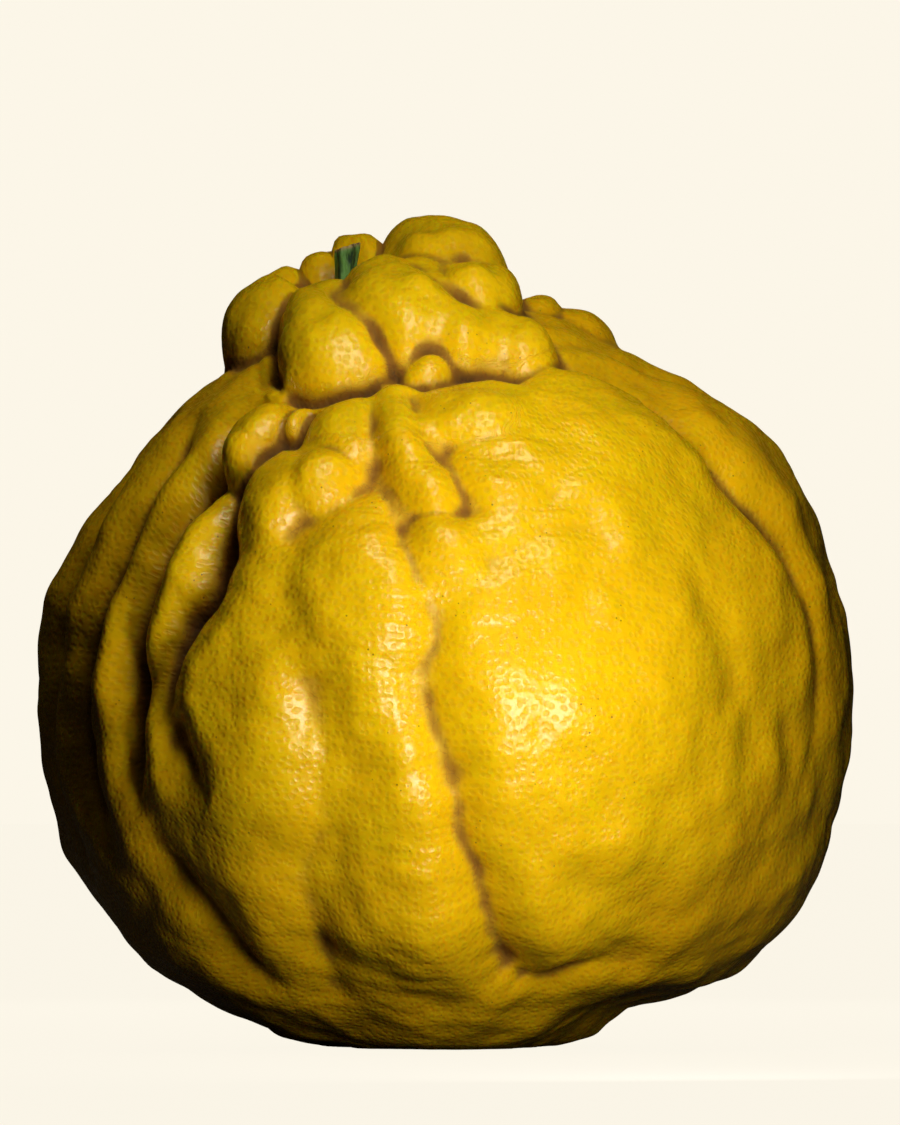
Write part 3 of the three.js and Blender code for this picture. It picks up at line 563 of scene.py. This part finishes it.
def fruitSkin():
    # The place of each point is its direction times the skin's distance from the core. With the places
    # go what the peel's colours and bumps follow.
    d, cells = spreadDirections(fruit["steps"])
    radius, crown = formRadius(d)
    longitude, latitude = np.arctan2(d[:, 0], -d[:, 1]), np.arcsin(np.clip(d[:, 2], -1, 1))
    band = np.stack([np.sin(longitude), -np.cos(longitude), latitude], -1) * fruit["skinRadius"]
    wrinkled = np.max([swellingRise(d, **place) for place in wrinkledPlaces], axis=0)
    radius = standOnFlat(d, skinRelief(d, radius, crown, band, wrinkled))
    # how deep the skin lies below its surroundings, widely and narrowly
    smoothed = ringMeans(radius, d, cells, 1)
    fold = ringMeans(smoothed, d, cells, fruit["foldRounds"]) - smoothed
    cleft = ringMeans(smoothed, d, cells, fruit["cleftRounds"]) - smoothed
    position = d * radius[:, None] + (0, 0, fruit["coreHeight"])
    position[:, 2] = np.maximum(position[:, 2], 0)
    # the scar where the blossom was: a shallow dimple in the middle of the underside
    fromMiddle, underneath = np.hypot(position[:, 0], position[:, 1]), d[:, 2] < -0.5
    scar = (1 - smoothStep(fromMiddle, *fruit["scarEdge"])) * underneath
    position[:, 2] += scar * fruit["scarDepth"]
    kinds = ("blushAndSideShade", "mottle", "shadeBlotches", "clusters")
    attributes = {kind: blotches(d * fruit["skinRadius"], **fruit[kind]) for kind in kinds}
    # painted shade: the sides turned away from the front are made more orange
    sideShade = 1 - smoothStep(d @ direction(*fruit["frontAt"]), *fruit["sideShadeFrom"][::-1])
    patchy, sideShadeShare = fruit["blushAndSideShadeShares"]
    attributes["blushAndSideShade"] = np.clip(patchy * attributes["blushAndSideShade"] + sideShadeShare * sideShade, 0, 1)
    attributes |= {"fold": fold, "cleft": cleft, "scar": scar}
    attributes |= {"crown": crown, "wrinkled": wrinkled, "band": band}
    return position, cells, attributes | skinMaps(position, cells, crown)


def addNode(tree, kind, inputs=None, output=0, **settings):
    # adds a node, sets or links its inputs, and gives one of its outputs
    made = tree.nodes.new("ShaderNode" + kind)
    for key, value in settings.items():
        setattr(made, key, value)
    for key, value in (inputs or {}).items():
        if isinstance(value, bpy.types.NodeSocket):
            tree.links.new(value, made.inputs[key])
        else:
            made.inputs[key].default_value = value
    return made.outputs[output]


def calculate(tree, operation, a, b=0.0, c=0.0):
    # a sum, product or other result of values
    return addNode(tree, "Math", {0: a, 1: b, 2: c}, operation=operation)


def between(tree, value, low, high, start=0.0, end=1.0):
    # a smooth step from start to end as the value goes from low to high
    return addNode(tree, "MapRange", {"Value": value, "From Min": low, "From Max": high, "To Min": start,
                                      "To Max": end}, interpolation_type="SMOOTHSTEP")


def mixColours(tree, share, first, second):
    return addNode(tree, "Mix", {"Factor": share, "A": first, "B": second}, output="Result", data_type="RGBA")


def scaled(tree, vector, factors):
    return addNode(tree, "VectorMath", {0: vector, 1: factors}, operation="MULTIPLY")


def attribute(tree, name, output="Fac"):
    return addNode(tree, "Attribute", attribute_name=name, output=output)


def makePatchesGroup():
    # mask of soft-edged patches: noise of a given size, cut between two levels
    group = bpy.data.node_groups.new("patches", "ShaderNodeTree")
    for name, kind in (("Position", "Vector"), ("Size", "Float"), ("Low", "Float"), ("High", "Float")):
        group.interface.new_socket(name, in_out="INPUT", socket_type="NodeSocket" + kind)
    group.interface.new_socket("Mask", in_out="OUTPUT", socket_type="NodeSocketFloat")
    ends = group.nodes.new("NodeGroupInput").outputs
    perSize = calculate(group, "DIVIDE", 1.0, ends["Size"])
    place = addNode(group, "VectorMath", {0: ends["Position"], "Scale": perSize}, operation="SCALE")
    noise = addNode(group, "TexNoise", {"Vector": place, "Scale": 1.0, "Detail": 3.0, "Roughness": 0.55})
    mask = between(group, noise, ends["Low"], ends["High"])
    group.links.new(mask, group.nodes.new("NodeGroupOutput").inputs["Mask"])
    return group


patchesGroup = makePatchesGroup()


def patches(tree, position, size, low=0.35, high=0.65):
    # the group above in a material, with a size and a cut of its own
    node = tree.nodes.new("ShaderNodeGroup")
    node.node_tree = patchesGroup
    tree.links.new(position, node.inputs["Position"])
    for key, value in (("Size", size), ("Low", low), ("High", high)):
        node.inputs[key].default_value = value
    return node.outputs["Mask"]


def startMaterial(name):
    # a material, its node tree, its shader's inputs and the position on the object in millimetres
    material = bpy.data.materials.new(name)
    material.use_nodes = True
    tree = material.node_tree
    position = scaled(tree, addNode(tree, "TexCoord", output="Object"), (1 / millimetre,) * 3)
    return material, tree, tree.nodes["Principled BSDF"].inputs, position


peel = {
    "yellow": (0.94, 0.60, 0.002, 1), "orange": (0.88, 0.47, 0.002, 1), "olive": (0.84, 0.58, 0.003, 1),
    # shade: painted shade in the folds; dark: painted shade in the deepest hollows
    "pit": (0.70, 0.39, 0.002, 1), "shade": (0.38, 0.16, 0.004, 1), "dark": (0.07, 0.03, 0.006, 1),
    # crack: the colour of real cracks, and of painted shade along the narrow clefts
    "speck": (0.10, 0.035, 0.006, 1), "crackAndCleftShade": (0.26, 0.10, 0.006, 1), "scar": (0.10, 0.055, 0.02, 1),
    # what is laid over the yellow and orange, in this order: the mask, its strength and the colour;
    # real stains, and painted shade in the folds, clefts and deepest hollows
    "stains": [("mottle", 0.3, "orange"), ("crown", 0.45, "olive"), ("glands", 0.32, "pit"),
               ("fine", 0.2, "pit"), ("folds", 0.8, "shade"), ("clefts", 0.75, "crackAndCleftShade"),
               ("deepShade", 0.9, "dark"), ("cracks", 0.6, "crackAndCleftShade"), ("specks", 0.8, "speck")],
    # depths in millimetres between which each mask goes from none to all; the fold, cleft and deepest-hollow
    # masks lay painted shade
    "foldDepth": (0.15, 1.4), "creaseDepth": (0.25, 1.0), "deepShadeDepth": (0.9, 2.4),
    "crackedDepth": (0.35, 1.2), "cleftDepth": (0.07, 0.42), "shadeBlotchFloor": 0.5, "scarFloor": 0.6,
    "roughness": 0.27, "pitRoughness": 0.45, "foldRoughness": 0.85,
    "glandSize": 1.9, "glandSway": 1.2, "glandScatter": 0.75, "glandEdge": (0.1, 0.46),
    "pitEdge": (0.16, 0.38), "glandDepth": 0.08,
    "nudgeSize": 2.5, "fine": (1.6, 0.3, 0.7), "specks": {"size": 2.2, "radius": 0.12},
    "cracks": {"size": 4, "width": 0.035, "sway": 6},
    "rippleSize": 3.5, "rippleHeight": 0.27,
    "wrinkleStretch": (0.22, 0.22, 0.9), "wrinkleSway": 0.8, "wrinkleScale": 0.55, "wrinkleHeight": 0.55,
    "refraction": 1.46, "shine": 0.36, "softness": 0.6, "softReach": (1.6, 0.9, 0.15),
}


def swayed(tree, nudge, reach, place):
    # a place shifted by a share of the nudge, so that a pattern on it runs crooked
    return addNode(tree, "VectorMath", {0: nudge, 1: reach, 2: place}, operation="MULTIPLY_ADD")


def chosen(tree, share, first, second):
    # the first value or the second, by a share stored on the skin
    ends = {"Factor": attribute(tree, share), "A": first, "B": second}
    return addNode(tree, "Mix", ends, output="Result")


def glands(tree, nudge, size):
    # distance from the middle of the nearest gland, in gland sizes, on the skin maps
    away = []
    for name in ("sideMap", "frontMap", "topMap"):
        flat = swayed(tree, nudge, (peel["glandSway"], peel["glandSway"], 0), attribute(tree, name, "Vector"))
        dots = {"Vector": flat, "Scale": 1 / size, "Randomness": peel["glandScatter"]}
        away.append(addNode(tree, "TexVoronoi", dots, output="Distance", voronoi_dimensions="2D"))
    return chosen(tree, "topShare", chosen(tree, "frontShare", away[0], away[1]), away[2])


def specks(tree, position, size, radius):
    # small round dots
    dots = addNode(tree, "TexVoronoi", {"Vector": position, "Scale": 1 / size}, output="Distance")
    return between(tree, dots, radius * 0.5, radius, 1.0, 0.0)


def cracks(tree, position, nudge, size, width, sway):
    # thin crooked lines along the borders of scattered cells
    bent = swayed(tree, nudge, (sway, sway, sway), position)
    border = addNode(tree, "TexVoronoi", {"Vector": bent, "Scale": 1 / size}, output="Distance",
                     feature="DISTANCE_TO_EDGE")
    return between(tree, border, width * 0.3, width, 1.0, 0.0)


def peelColour(tree, position, nudge, hollow, gland):
    # yellow, turned orange by real blush patches and by painted shade on the sides away from the front, with
    # the stains and the painted shade of folds, clefts and deepest hollows laid over it one after the other,
    # and the scar last
    fine = patches(tree, position, *peel["fine"])
    # blotches that make the painted deep shade uneven, never below a floor
    shadeBlotches = between(tree, attribute(tree, "shadeBlotches"), 0.0, 1.0, peel["shadeBlotchFloor"], 1.0)
    dots = specks(tree, position, **peel["specks"])
    lines = cracks(tree, position, nudge, **peel["cracks"])
    masks = {
        "mottle": attribute(tree, "mottle"), "crown": attribute(tree, "crown"), "glands": gland, "fine": fine,
        # painted shade in the wide hollows
        "folds": between(tree, hollow, *peel["foldDepth"]),
        # painted shade along the narrow clefts, in the crack colour
        "clefts": between(tree, attribute(tree, "cleft"), *peel["cleftDepth"]),
        # painted dark shade in the deepest hollows, uneven in blotches
        "deepShade": calculate(tree, "MULTIPLY", between(tree, hollow, *peel["deepShadeDepth"]), shadeBlotches),
        "cracks": calculate(tree, "MULTIPLY", lines, between(tree, hollow, *peel["crackedDepth"])),
        "specks": calculate(tree, "MULTIPLY", dots, attribute(tree, "clusters")),
    }
    # real orange blush patches, plus painted shade on the sides away from the front
    colour = mixColours(tree, attribute(tree, "blushAndSideShade"), peel["yellow"], peel["orange"])
    for mask, strength, stainOrShade in peel["stains"]:
        colour = mixColours(tree, calculate(tree, "MULTIPLY", masks[mask], strength), colour, peel[stainOrShade])
    uneven = between(tree, fine, 0.0, 1.0, 1.0, peel["scarFloor"])
    scar = calculate(tree, "MULTIPLY", attribute(tree, "scar"), uneven)
    return mixColours(tree, scar, colour, peel["scar"])


def peelHeight(tree, position, nudge, gland):
    # height in millimetres: ripples, fine wrinkles round the fruit where it is wrinkled, less the glands
    rippleScale = 1 / peel["rippleSize"]
    ripple = addNode(tree, "TexNoise", {"Vector": position, "Scale": rippleScale, "Detail": 2.0})
    band = scaled(tree, attribute(tree, "band", "Vector"), peel["wrinkleStretch"])
    band = swayed(tree, nudge, (peel["wrinkleSway"],) * 3, band)
    rings = addNode(tree, "TexNoise", {"Vector": band, "Scale": peel["wrinkleScale"], "Detail": 1.0})
    rings = calculate(tree, "MULTIPLY", rings, attribute(tree, "wrinkled"))
    height = calculate(tree, "MULTIPLY", ripple, peel["rippleHeight"])
    height = calculate(tree, "MULTIPLY_ADD", rings, peel["wrinkleHeight"], height)
    return calculate(tree, "MULTIPLY_ADD", gland, -peel["glandDepth"], height)


def bumpy(tree, shader, height):
    # the shader's normal, from a height in millimetres
    bump = addNode(tree, "Bump", {"Height": height, "Distance": millimetre, "Strength": 1.0})
    tree.links.new(bump, shader["Normal"])


def makePeel():
    material, tree, shader, position = startMaterial("peel")
    hollow = attribute(tree, "fold")
    wide = {"Vector": position, "Scale": 1 / peel["nudgeSize"], "Detail": 1.0}
    nudge = addNode(tree, "TexNoise", wide, output="Color")
    away = glands(tree, nudge, peel["glandSize"])
    gland = between(tree, away, *peel["glandEdge"], 1.0, 0.0)
    pit = between(tree, away, *peel["pitEdge"], 1.0, 0.0)
    tree.links.new(peelColour(tree, position, nudge, hollow, gland), shader["Base Color"])
    smooth, pitted, folded = peel["roughness"], peel["pitRoughness"], peel["foldRoughness"]
    crease = between(tree, hollow, *peel["creaseDepth"])
    gloss = addNode(tree, "MapRange", {"Value": pit, "To Min": smooth, "To Max": pitted})
    gloss = addNode(tree, "MapRange", {"Value": crease, "To Min": gloss, "To Max": folded})
    tree.links.new(gloss, shader["Roughness"])
    bumpy(tree, shader, peelHeight(tree, position, nudge, gland))
    shader["IOR"].default_value = peel["refraction"]
    shader["Specular IOR Level"].default_value = peel["shine"]
    shader["Subsurface Weight"].default_value = peel["softness"]
    shader["Subsurface Radius"].default_value = peel["softReach"]
    shader["Subsurface Scale"].default_value = millimetre
    return material


def makeFruit():
    points, cells, attributes = fruitSkin()
    return makeObject("fruitSkin", points, cells.tolist(), makePeel(), attributes)


stem = {
    "radius": 2.7, "waist": 0.8, "flutes": 6, "fluteDepth": 0.06, "fluteTwist": 0.6 * sin(1),
    "lean": (1.1, -1.3), "waistPace": 1.1, "length": 13.8, "cutRise": 0.3, "cutFrom": (0.93, 0.99),
    "around": 144, "along": 60,
    "ragged": 0.25, "raggedFrom": (0.9, 1), "raggedNoise": {"cell": 0.7, "seed": 12},
    # along the outline: share of the way, share of the radius, share of the height
    "outline": [(0, 0, 0), (0.12, 0.95, 0), (0.16, 1, 0.01), (0.8, 1, 0.985), (0.84, 0.96, 1),
                (0.88, 0.8, 0.995), (0.95, 0.35, 0.985), (1, 0.02, 0.99)],
    "darkGreen": (0.010, 0.035, 0.012, 1), "lightGreen": (0.16, 0.36, 0.07, 1), "cut": (0.42, 0.29, 0.10, 1),
    "brown": (0.10, 0.05, 0.02, 1),
    # size, and the levels between which the noise is cut
    "streaks": (1.5, 0.36, 0.58), "fineStreaks": (0.5, 0.4, 0.65), "stains": (1.4, 0.45, 0.6),
    "streakStretch": (1, 1, 0.14), "fineShare": 0.3, "streakHeight": 0.1, "fineHeight": 0.08,
    "barkRoughness": 0.45, "cutRoughness": 0.9,
}


def alongOutline(u, outline):
    # the outline's second and third columns at each share of the way along it
    at, wide, tall = np.array(outline).T
    return np.interp(u, at, wide), np.interp(u, at, tall)


def makeStemBark():
    material, tree, shader, position = startMaterial("stem")
    long = scaled(tree, position, stem["streakStretch"])
    streaks = patches(tree, long, *stem["streaks"])
    fineStreaks = patches(tree, long, *stem["fineStreaks"])
    green = mixColours(tree, streaks, stem["darkGreen"], stem["lightGreen"])
    lighter = calculate(tree, "MULTIPLY", fineStreaks, stem["fineShare"])
    green = mixColours(tree, lighter, green, stem["lightGreen"])
    tan = mixColours(tree, patches(tree, position, *stem["stains"]), stem["cut"], stem["brown"])
    cut = attribute(tree, "cut")
    tree.links.new(mixColours(tree, cut, green, tan), shader["Base Color"])
    rough = between(tree, cut, 0.0, 1.0, stem["barkRoughness"], stem["cutRoughness"])
    tree.links.new(rough, shader["Roughness"])
    height = calculate(tree, "ADD", calculate(tree, "MULTIPLY", fineStreaks, stem["fineHeight"]),
                       calculate(tree, "MULTIPLY", streaks, stem["streakHeight"]))
    bumpy(tree, shader, height)
    return material


def makeStem():
    # A tube round the stem's axis, u along its outline from the middle of the foot up the side and
    # over the rim to the middle of the cut, v around. Its radius is narrowed at the waist by a sine of
    # the height and fluted by a cosine of v; it leans with the height and is cut at a slant.
    low = inMillimetres(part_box("stem_stub"))[0]
    calyxLow, calyxHigh = inMillimetres(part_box("calyx"))
    foot = np.append((calyxLow + calyxHigh)[:2] / 2, low[2])
    u = np.linspace(0, 1, stem["along"])[:, None]
    v = np.linspace(0, 2 * pi, stem["around"], endpoint=False)[None]
    out, share = alongOutline(u, stem["outline"])
    waist = 1 - (1 - stem["waist"]) * np.sin(pi * np.minimum(share * stem["waistPace"], 1))
    flutes = 1 + stem["fluteDepth"] * np.cos(stem["flutes"] * v + stem["fluteTwist"] * share)
    across = stem["radius"] * out * waist * flutes
    x, y = across * np.cos(v), across * np.sin(v)
    rough = latticeNoise(np.stack([x, y, 0 * x], -1), **stem["raggedNoise"])
    rough = rough * stem["ragged"] * smoothStep(share, *stem["raggedFrom"])
    z = share * (stem["length"] + stem["cutRise"] * x) + rough
    leanX, leanY = stem["lean"]
    rings = np.stack([foot[0] + x + leanX * share, foot[1] + y + leanY * share, foot[2] + z], -1)
    points, faces = closedRings(rings)
    cut = np.broadcast_to(smoothStep(share, *stem["cutFrom"]), x.shape).ravel()
    footAndCut = [0, 1]  # the two middle points that closedRings adds
    return makeObject("stemStub", points, faces, makeStemBark(), {"cut": np.append(cut, footAndCut)})


calyx = {
    "lobes": 5, "lobeDepth": 0.11, "grooveDepth": 0.3, "grooveOut": (0.45, 0.7), "grooveFrom": (0.4, 0.55),
    "around": 160, "along": 40,
    # along the outline: share of the way, share of the radius, share of the height
    "outline": [(0, 0, 0), (0.3, 0.86, 0), (0.4, 0.99, 0.2), (0.5, 1, 0.4), (0.6, 0.93, 0.66),
                (0.72, 0.75, 0.82), (0.86, 0.5, 0.93), (0.92, 0.42, 1), (1, 0.02, 1)],
    "olive": (0.13, 0.125, 0.03, 1), "brown": (0.09, 0.045, 0.02, 1),
    "patches": (2.2, 0.4, 0.6), "fineSize": 0.6, "roughness": (0.6, 0.85), "fineHeight": 0.1,
}


def makeCalyxSkin():
    material, tree, shader, position = startMaterial("calyx")
    patch = patches(tree, position, *calyx["patches"])
    fine = patches(tree, position, calyx["fineSize"])
    tree.links.new(mixColours(tree, patch, calyx["olive"], calyx["brown"]), shader["Base Color"])
    tree.links.new(between(tree, fine, 0.0, 1.0, *calyx["roughness"]), shader["Roughness"])
    bumpy(tree, shader, calculate(tree, "MULTIPLY", fine, calyx["fineHeight"]))
    return material


def makeCalyx():
    # A button, u along its outline from the middle of the underside round the rim to the middle of the
    # top, v around. Its radius has five lobes by a cosine of v, with a groove between each pair that
    # follows the cube of that cosine, and a collar round the stem.
    low, high = inMillimetres(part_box("calyx"))
    u = np.linspace(0, 1, calyx["along"])[:, None]
    v = np.linspace(0, 2 * pi, calyx["around"], endpoint=False)[None]
    out, up = alongOutline(u, calyx["outline"])
    radius = (high - low)[:2].max() / 2 / (1 + calyx["lobeDepth"])
    across = out * radius * (1 + calyx["lobeDepth"] * np.cos(calyx["lobes"] * v))
    groove = np.maximum(0, -np.cos(calyx["lobes"] * v)) ** 3
    groove = groove * smoothStep(out, *calyx["grooveOut"]) * smoothStep(u, *calyx["grooveFrom"])
    z = low[2] + up * (high - low)[2] - calyx["grooveDepth"] * groove
    middle = (low + high) / 2
    rings = np.stack([middle[0] + across * np.cos(v), middle[1] + across * np.sin(v), z + 0 * v], -1)
    points, faces = closedRings(rings)
    return makeObject("calyxButton", points, faces, makeCalyxSkin())


pieces = ((makeFruit, "fruit", "peel"), (makeCalyx, "calyx", "calyx"), (makeStem, "stem_stub", "stem"))
for make, node, slot in pieces:
    piece = make()
    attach(piece, "root")
    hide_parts(node)
    print(f"{piece.name} made: {len(piece.data.polygons)} faces")


# The stage's sizes are in metres. side: degrees to the right of the front.
stage = {
    "cream": (0.973, 0.922, 0.807, 1), "floorRadius": 60, "floorCorners": 64, "floorDrop": 0.0003,
    "floorAlbedo": 0.03, "floorGlow": 0.985,
    "key": {"side": 10, "height": 0.29, "distance": 0.19, "size": (0.06, 0.2), "power": 0.32},
    "low": {"side": 13, "height": 0.058, "distance": 0.235, "size": (0.06, 0.075), "power": 0.26},
    "rear": {"side": 180, "height": 0.28, "distance": 0.5, "size": (0.3, 0.3), "power": 1.5},
    "fill": 0.003, "topLight": 0.3, "topSpread": 40,
    "cameraDistance": 1.8, "cameraHeight": 0.0505, "aim": (0.0012, 0, 0.1067), "frameHeight": 0.2483,
}


def cameraRays(tree, seen, unseen):
    # one value for rays from the camera, another for all the others
    isCamera = addNode(tree, "LightPath", output="Is Camera Ray")
    return addNode(tree, "MapRange", {"Value": isCamera, "To Min": unseen, "To Max": seen})


def makeFloor():
    # a disc just below the fruit, pale by its own glow and a little darker in shadow; the camera sees
    # through it from below
    around = np.linspace(0, 2 * pi, stage["floorCorners"], endpoint=False)
    rim = np.stack([np.cos(around), np.sin(around), 0 * around], -1) * stage["floorRadius"]
    rim[:, 2] = -stage["floorDrop"]
    material = bpy.data.materials.new("floor")
    material.use_nodes = True
    tree = material.node_tree
    tree.nodes.remove(tree.nodes["Principled BSDF"])
    matt = [value * stage["floorAlbedo"] for value in stage["cream"][:3]] + [1]
    lit = addNode(tree, "BsdfDiffuse", {"Color": matt})
    strength = cameraRays(tree, stage["floorGlow"], 0)
    glow = addNode(tree, "Emission", {"Color": stage["cream"], "Strength": strength})
    both = addNode(tree, "AddShader", {0: lit, 1: glow})
    below = addNode(tree, "NewGeometry", output="Backfacing")
    shown = addNode(tree, "MixShader", {0: below, 1: both, 2: addNode(tree, "BsdfTransparent")})
    tree.links.new(shown, tree.nodes["Material Output"].inputs["Surface"])
    floor = makeObject("floor", rim / millimetre, [list(range(len(rim)))], material)


def makeSoftbox(name):
    # an upright softbox near the fruit, facing its axis; the one behind leaves no highlights
    box = stage[name]
    lamp = bpy.data.lights.new(name, "AREA")
    lamp.shape = "RECTANGLE"
    lamp.size, lamp.size_y = box["size"]
    lamp.energy = box["power"]
    made = bpy.data.objects.new(name, lamp)
    made.visible_camera = False
    made.visible_glossy = name != "rear"
    scene.collection.objects.link(made)
    away = Vector(direction(box["side"], 0))
    made.location = away * box["distance"] + Vector((0, 0, box["height"]))
    made.rotation_euler = (-away).to_track_quat("-Z", "Y").to_euler()


def makeTopLight():
    # a weak sun straight above, wide enough for soft shadows
    lamp = bpy.data.lights.new("top", "SUN")
    lamp.energy = stage["topLight"]
    lamp.angle = radians(stage["topSpread"])
    made = bpy.data.objects.new("top", lamp)
    made.visible_glossy = False
    scene.collection.objects.link(made)


def makeWorld():
    # cream to the camera, and next to no light on the fruit
    world = bpy.data.worlds.new("backdrop")
    scene.world = world
    world.use_nodes = True
    background = world.node_tree.nodes["Background"]
    background.inputs["Color"].default_value = stage["cream"]
    strength = cameraRays(world.node_tree, 1, stage["fill"])
    world.node_tree.links.new(strength, background.inputs["Strength"])


def makeCamera():
    # in an upright frame the sensor's width lies along the height, so the frame's height sets the lens
    lens = bpy.data.cameras.new("camera")
    lens.lens = lens.sensor_width * stage["cameraDistance"] / stage["frameHeight"]
    camera = bpy.data.objects.new("camera", lens)
    scene.collection.objects.link(camera)
    camera.location = (0, -stage["cameraDistance"], stage["cameraHeight"])
    camera.rotation_euler = (Vector(stage["aim"]) - camera.location).to_track_quat("-Z", "Y").to_euler()
    scene.camera = camera


makeFloor()
for box in ("key", "low", "rear"):
    makeSoftbox(box)
makeTopLight()
makeWorld()
makeCamera()
scene.view_settings.view_transform = "Standard"
print("floor, light and camera made")
